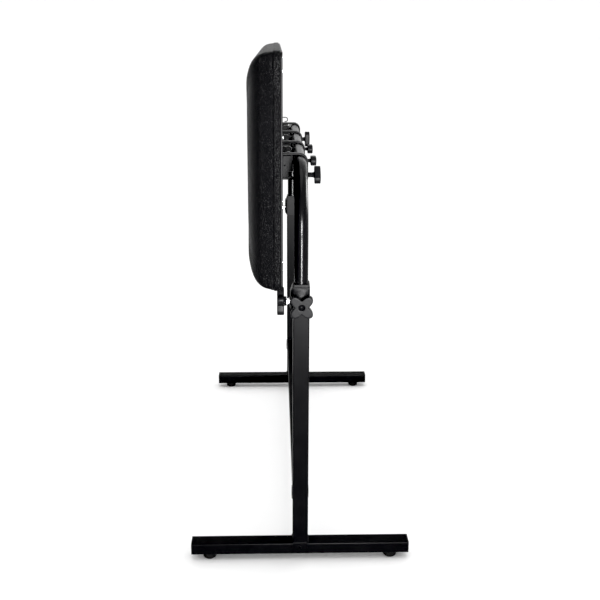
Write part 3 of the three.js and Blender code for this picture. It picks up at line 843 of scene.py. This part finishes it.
# %% Cushion simulation
def inflate(piece, cap):
    rest = np.array([v.co for v in piece.data.vertices])
    pins = piece.vertex_groups.new(name="held")
    held = [i for i, p in enumerate(rest) if p[1] > CROWN_Y + 0.0012]
    pins.add(held, 1.0, "REPLACE")
    cloth = piece.modifiers.new("cover", "CLOTH")
    settings = cloth.settings
    settings.quality, settings.mass = 5, 0.3
    settings.tension_stiffness = settings.compression_stiffness = settings.shear_stiffness = 12
    settings.bending_stiffness = 0.6
    settings.use_pressure, settings.uniform_pressure_force = True, 4.0
    settings.vertex_group_mass = "held"
    settings.effector_weights.gravity = 0.0
    cloth.collision_settings.use_collision = False
    cloth.point_cache.frame_start, cloth.point_cache.frame_end = 1, 20
    scene = bpy.context.scene
    for number in range(1, 21):
        scene.frame_set(number)
    seen = piece.evaluated_get(bpy.context.evaluated_depsgraph_get())
    swollen = np.array([v.co for v in seen.data.vertices])
    piece.modifiers.remove(cloth)
    piece.vertex_groups.clear()
    scene.frame_set(1)
    move = swollen - rest
    length = np.linalg.norm(move, axis=1, keepdims=True)
    move *= np.minimum(1.0, cap / np.maximum(length, 1e-9))
    piece.data.vertices.foreach_set("co", (rest + move).ravel())
    piece.data.update()
    return float(length.max())


SWELL_CAP = 0.0028
swell = inflate(cushion, SWELL_CAP)
print("largest free swell:", round(swell * 1000, 1), "mm, capped at", SWELL_CAP * 1000, "mm")

subdivided = cushion.modifiers.new("finer", "SUBSURF")
subdivided.levels = subdivided.render_levels = 1
baked(cushion)

# %% [markdown]
# The seam between band and crown pulls the cover in, and the spare vinyl at each corner is folded into
# a few small pleats that fan out from the seam. Both are pressed into the fine mesh along its normals.

# %% Seam and corner pleats
def sew(piece):
    mesh = piece.data
    for vertex in mesh.vertices:
        x, y, z = vertex.co.x, vertex.co.y, vertex.co.z - PAD_Z
        from_seam = y - CROWN_Y
        if y > PAD_BACK - 0.001:
            continue
        groove = 0.0013 * max(0.0, 1 - abs(from_seam) / 0.0022)
        corner_x = max(0.0, abs(x) - (HALF_X - CORNER - 0.02))
        corner_z = max(0.0, abs(z) - (HALF_Z - CORNER - 0.02))
        pleat = 0.0
        if corner_x > 0 and corner_z > 0 and -0.045 < from_seam < 0.0:
            angle = np.arctan2(corner_z, corner_x)
            fade = sin(pi * min(1.0, -from_seam / 0.045)) * min(1.0, hypot(corner_x, corner_z) / 0.05)
            pleat = 0.0016 * fade * (0.5 + 0.5 * cos(angle * 28)) ** 2 * sin(angle * 2)
        if groove or pleat:
            vertex.co = vertex.co - vertex.normal * (groove + pleat)


sew(cushion)
smooth(cushion, 60)
fit(cushion, "pad", "vinyl", "pad_cushion")
print("cushion:", len(cushion.data.polygons), "faces")

# %% [markdown]
# Screws, rivets and stitches repeat along a path, which is what Geometry Nodes is good at. One tree
# serves all three: it turns a path of edges into a curve, sets points at a spacing, lines a small
# piece up with the path at each point, and gives it a random turn where a fitter would leave one.

# %% Repeating tree
def repeating_tree():
    tree = bpy.data.node_groups.new("set_along_path", "GeometryNodeTree")
    face = tree.interface
    face.new_socket("Path", in_out="INPUT", socket_type="NodeSocketGeometry")
    sockets = {}
    kinds = {"Piece": "Object", "Finish": "Material", "Spacing": "Float", "Turn": "Float", "Seed": "Int"}
    for label, kind in kinds.items():
        sockets[label] = face.new_socket(label, in_out="INPUT", socket_type="NodeSocket" + kind)
    face.new_socket("Pieces", in_out="OUTPUT", socket_type="NodeSocketGeometry")
    new, link = tree.nodes.new, tree.links.new
    given, made = new("NodeGroupInput"), new("NodeGroupOutput")
    curve, marks = new("GeometryNodeMeshToCurve"), new("GeometryNodeCurveToPoints")
    marks.mode = "LENGTH"
    link(given.outputs["Path"], curve.inputs["Mesh"])
    link(curve.outputs["Curve"], marks.inputs["Curve"])
    link(given.outputs["Spacing"], marks.inputs["Length"])
    aim = new("FunctionNodeAlignRotationToVector")
    aim.axis, aim.pivot_axis = "X", "Y"
    link(marks.outputs["Tangent"], aim.inputs["Vector"])
    source, copies = new("GeometryNodeObjectInfo"), new("GeometryNodeInstanceOnPoints")
    link(given.outputs["Piece"], source.inputs["Object"])
    link(marks.outputs["Points"], copies.inputs["Points"])
    link(source.outputs["Geometry"], copies.inputs["Instance"])
    link(aim.outputs["Rotation"], copies.inputs["Rotation"])
    chance, turn = new("FunctionNodeRandomValue"), new("ShaderNodeCombineXYZ")
    spin = new("GeometryNodeRotateInstances")
    chance.data_type = "FLOAT"
    link(given.outputs["Turn"], chance.inputs[3])
    link(given.outputs["Seed"], chance.inputs["Seed"])
    link(chance.outputs[1], turn.inputs["Y"])
    link(copies.outputs["Instances"], spin.inputs["Instances"])
    link(turn.outputs["Vector"], spin.inputs["Rotation"])
    solid, coat = new("GeometryNodeRealizeInstances"), new("GeometryNodeSetMaterial")
    link(spin.outputs["Instances"], solid.inputs["Geometry"])
    link(solid.outputs["Geometry"], coat.inputs["Geometry"])
    link(given.outputs["Finish"], coat.inputs["Material"])
    link(coat.outputs["Geometry"], made.inputs["Pieces"])
    return tree, {label: socket.identifier for label, socket in sockets.items()}


path_tree, path_inputs = repeating_tree()


def set_along(name, paths, piece, slot, spacing, turn, seed, body):
    mesh = bpy.data.meshes.new(name)
    points, edges = [], []
    for path, closed in paths:
        first = len(points)
        points += [tuple(p) for p in path]
        edges += [(first + i, first + i + 1) for i in range(len(path) - 1)]
        if closed:
            edges.append((first + len(path) - 1, first))
    mesh.from_pydata(points, edges, [])
    host = bpy.data.objects.new(name, mesh)
    bpy.context.scene.collection.objects.link(host)
    nodes = host.modifiers.new("set_along_path", "NODES")
    nodes.node_group = path_tree
    values = {"Piece": piece, "Finish": finishes[slot], "Spacing": spacing, "Turn": turn, "Seed": seed}
    for label, value in values.items():
        nodes[path_inputs[label]] = value
    baked(host)
    bpy.data.objects.remove(piece)
    smooth(host, 45)
    fit(host, body, slot)
    print(name, len(host.data.polygons), "faces")


# %% [markdown]
# The thin panel on the board's back is held by small pan-head screws all round, set in from the edge.

# %% Panel screws
panel_low, panel_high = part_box("pad_back_panel")
pan = pressed_cross("pan_head", facing((0, 1, 0), (0, 0, 0)), 0.0038, 0.0020, 0.0014, 0.0010)
edge_x, edge_z = (panel_high.x - panel_low.x) - 0.030, (panel_high.z - panel_low.z) - 0.030
border = [(x, panel_high.y, PAD_Z + z) for x, z in rounded(edge_x, edge_z, 0.024, 8)]
set_along("panel_screws", [(border, True)], pan, "zinc", 0.142, 2 * pi, 3, "pad")

# %% [markdown]
# The cover's seam is closed by a row of stitches, each a short thread that dips into the vinyl at both
# ends. A stitch is a bent, tapered rod of a few faces, because there are several hundred of them.

# %% Stitches
def stitch_piece():
    rings = []
    for t in np.linspace(-1, 1, 6):
        radius = 0.00042 * (1 - 0.55 * t ** 4)
        corners = np.linspace(0, 2 * pi, 7)[:-1]
        rings.append([(0.0016 * t, radius * sin(a), radius * cos(a)) for a in corners])
    return skin("stitch", *rings_to_faces(rings))


PROUD, BEHIND_SEAM = 0.0002, 0.0040
outline = rounded(2 * (HALF_X + PROUD), 2 * (HALF_Z + PROUD), CORNER, 14)
seam = [(x, CROWN_Y + BEHIND_SEAM, PAD_Z + z) for x, z in outline]
set_along("seam_stitches", [(seam, True)], stitch_piece(), "vinyl", 0.0046, 0.0, 5, "pad")

# %% [markdown]
# Two domed rivets on each side hold the bracket's folded box together.

# %% Bracket rivets
def rivet_piece(sign):
    profile = [(0.0012, -0.0004), (0.0026, -0.0004), (0.0026, 0.0002)]
    profile += [(0.0026 * cos(a), 0.0002 + 0.0011 * sin(a)) for a in np.linspace(0.2, 1.5, 5)]
    return turned("rivet", profile, facing((sign, 0, 0), (0, 0, 0)), 16)


RIVET_DROP = 0.0072
for sign in (1, -1):
    rows = []
    for number in range(1, 5):
        low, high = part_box(f"clamp_bracket_{number}")
        x, z = high.x if sign > 0 else low.x, BAR_Z - RIVET_DROP
        rows.append(([(x, low.y + 0.006, z), (x, low.y + 0.022, z)], False))
    name = "rivets_right" if sign > 0 else "rivets_left"
    set_along(name, rows, rivet_piece(sign), "powder_coat", 0.016, 0.0, 1, "pad")

# %% [markdown]
# The last cell only imports json again.

# %% Last cell
import json
